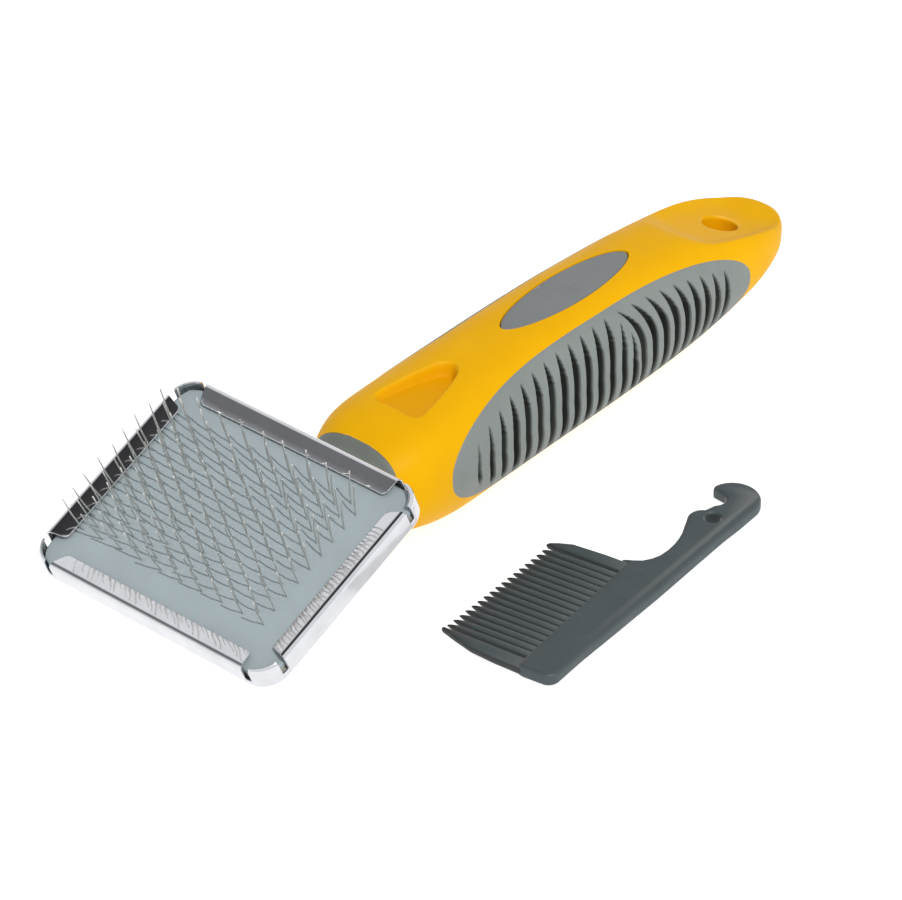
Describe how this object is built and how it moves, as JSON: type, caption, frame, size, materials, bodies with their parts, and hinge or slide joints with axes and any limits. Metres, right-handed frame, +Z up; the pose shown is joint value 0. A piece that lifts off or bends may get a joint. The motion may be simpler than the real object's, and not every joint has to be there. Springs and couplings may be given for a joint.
{
  "type": "slicker brush with cleaning comb",
  "caption": "Hand slicker brush: chromed tray with a rubber pad of fine bent wire pins, a two-tone handle with side grips, and a small hooked cleaning comb.",
  "frame": {"origin": "centre of the bounding box of the brush and comb as laid out, at the level of the table", "axes": "+X from the head to the tail of the handle, +Y to the brush's left (away from the comb), +Z up; pins point up and towards the front"},
  "size_m": [0.2044, 0.0964, 0.0425],
  "materials": {
    "tray_chrome": "polished chromed sheet steel",
    "rivets": "plain steel rivet",
    "pad_underlay": "matt felt",
    "pad_face": "smooth satin rubber",
    "pins": "bright drawn wire",
    "neck": "satin moulding",
    "handle_body": "satin moulding",
    "grips": "soft-touch matt, grooved",
    "badge": "fine matt",
    "comb": "satin moulding"
  },
  "bodies": {
    "brush": {"tray": "tray_chrome", "rivet_1": "rivets", "rivet_2": "rivets", "rivet_3": "rivets", "rivet_4": "rivets", "pad_underlay": "pad_underlay", "pad_face": "pad_face", "pin_row_01": "pins", "pin_row_02": "pins", "pin_row_03": "pins", "pin_row_04": "pins", "pin_row_05": "pins", "pin_row_06": "pins", "pin_row_07": "pins", "pin_row_08": "pins", "pin_row_09": "pins", "pin_row_10": "pins", "pin_row_11": "pins", "pin_row_12": "pins", "pin_row_13": "pins", "pin_row_14": "pins", "pin_row_15": "pins", "pin_row_16": "pins", "pin_row_17": "pins", "pin_row_18": "pins", "neck": "neck", "handle_body": "handle_body", "grip_left": "grips", "grip_right": "grips", "badge": "badge"},
    "comb": {"comb": "comb"}
  },
  "joints": [
    {"name": "comb_lift", "type": "slide", "parent": "brush", "child": "comb", "axis": [0, 0, 1], "range_m": [0, 0.06]}
  ]
}
